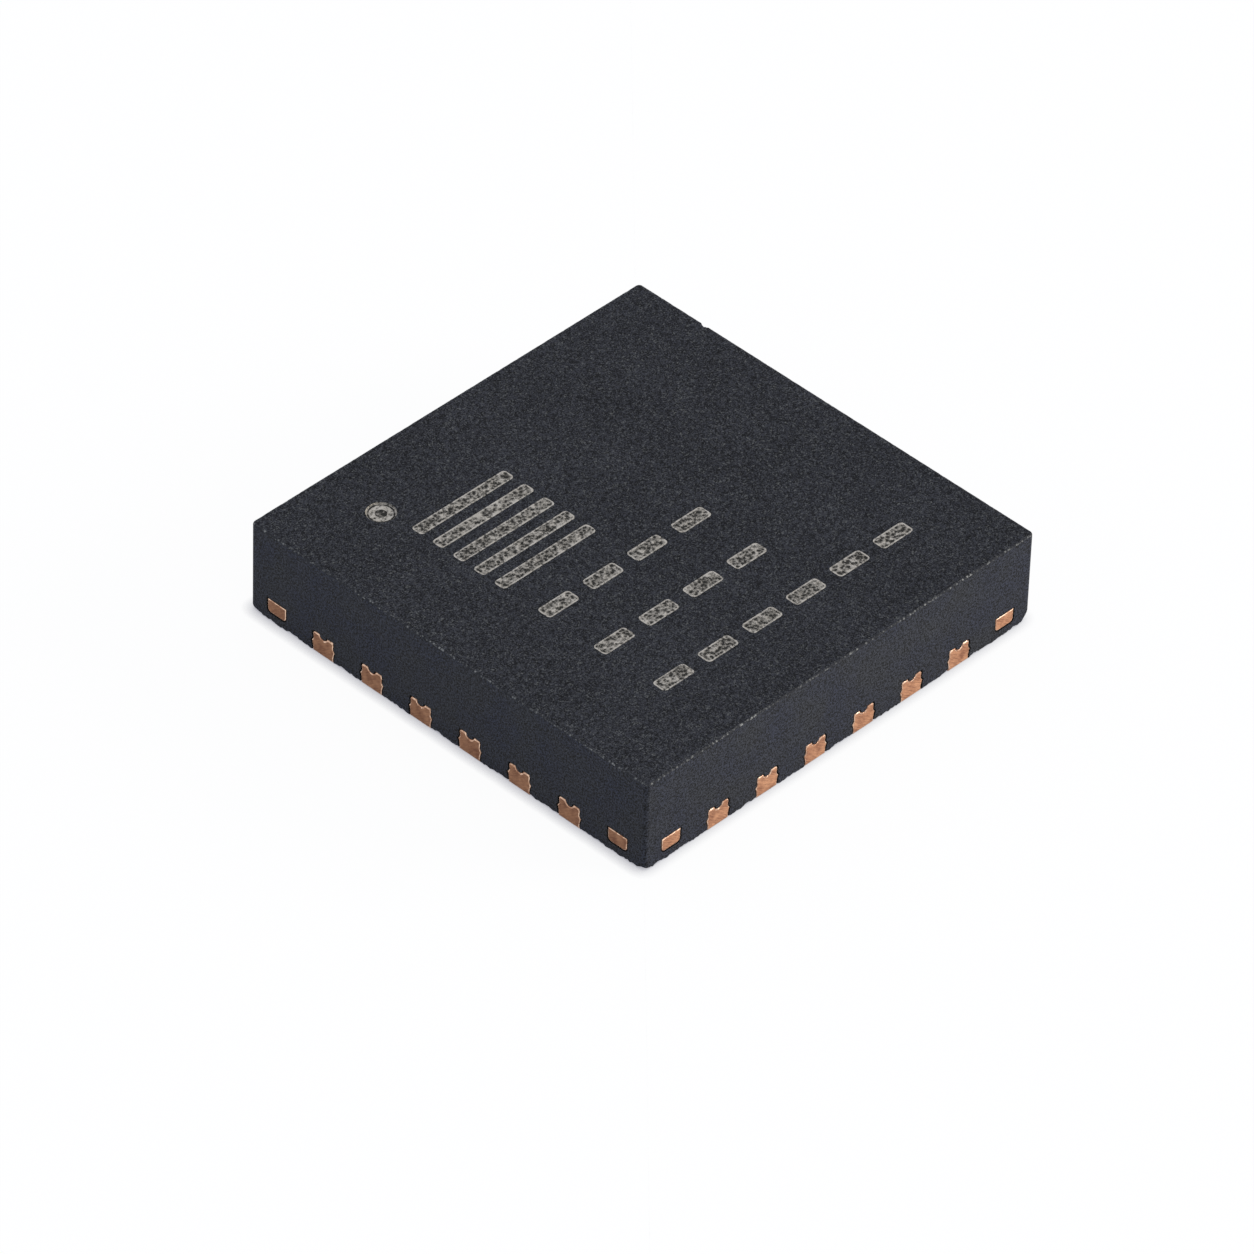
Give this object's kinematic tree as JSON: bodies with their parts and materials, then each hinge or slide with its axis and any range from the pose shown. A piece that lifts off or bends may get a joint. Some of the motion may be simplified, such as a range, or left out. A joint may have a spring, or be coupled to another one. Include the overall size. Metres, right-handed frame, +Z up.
{
  "type": "qfn chip",
  "caption": "Square flat no-lead chip: sawn black epoxy body with etched copper lead ends flush in its sides, lands and a thermal pad underneath, and a wire-bonded die inside.",
  "frame": {"origin": "middle of the seating plane, which the lands and the exposed pad lie in", "axes": "+Z up through the body, +Y towards the side next to lead 1's corner, lead 1 on the -X side"},
  "size_m": [0.004, 0.004, 0.0008],
  "materials": {
    "mould_compound": "silica-filled epoxy, fine-grained top, sawn sides",
    "lead_frame_copper": "etched copper alloy, bare where sawn, matt tin on the underside",
    "die_attach_adhesive": "silver-filled adhesive",
    "silicon": "sawn silicon, opaque, passivated top",
    "bond_wire_gold": "drawn gold wire"
  },
  "bodies": {
    "root": {"mould_body": "mould_compound", "die_paddle": "lead_frame_copper", "die_attach": "die_attach_adhesive", "die": "silicon", "lead_01": "lead_frame_copper", "lead_02": "lead_frame_copper", "lead_03": "lead_frame_copper", "lead_04": "lead_frame_copper", "lead_05": "lead_frame_copper", "lead_06": "lead_frame_copper", "lead_07": "lead_frame_copper", "lead_08": "lead_frame_copper", "lead_09": "lead_frame_copper", "lead_10": "lead_frame_copper", "lead_11": "lead_frame_copper", "lead_12": "lead_frame_copper", "lead_13": "lead_frame_copper", "lead_14": "lead_frame_copper", "lead_15": "lead_frame_copper", "lead_16": "lead_frame_copper", "lead_17": "lead_frame_copper", "lead_18": "lead_frame_copper", "lead_19": "lead_frame_copper", "lead_20": "lead_frame_copper", "lead_21": "lead_frame_copper", "lead_22": "lead_frame_copper", "lead_23": "lead_frame_copper", "lead_24": "lead_frame_copper", "bond_wire_01": "bond_wire_gold", "bond_wire_02": "bond_wire_gold", "bond_wire_03": "bond_wire_gold", "bond_wire_04": "bond_wire_gold", "bond_wire_05": "bond_wire_gold", "bond_wire_06": "bond_wire_gold", "bond_wire_07": "bond_wire_gold", "bond_wire_08": "bond_wire_gold", "bond_wire_09": "bond_wire_gold", "bond_wire_10": "bond_wire_gold", "bond_wire_11": "bond_wire_gold", "bond_wire_12": "bond_wire_gold", "bond_wire_13": "bond_wire_gold", "bond_wire_14": "bond_wire_gold", "bond_wire_15": "bond_wire_gold", "bond_wire_16": "bond_wire_gold", "bond_wire_17": "bond_wire_gold", "bond_wire_18": "bond_wire_gold", "bond_wire_19": "bond_wire_gold", "bond_wire_20": "bond_wire_gold", "bond_wire_21": "bond_wire_gold", "bond_wire_22": "bond_wire_gold", "bond_wire_23": "bond_wire_gold", "bond_wire_24": "bond_wire_gold"}
  },
  "joints": []
}
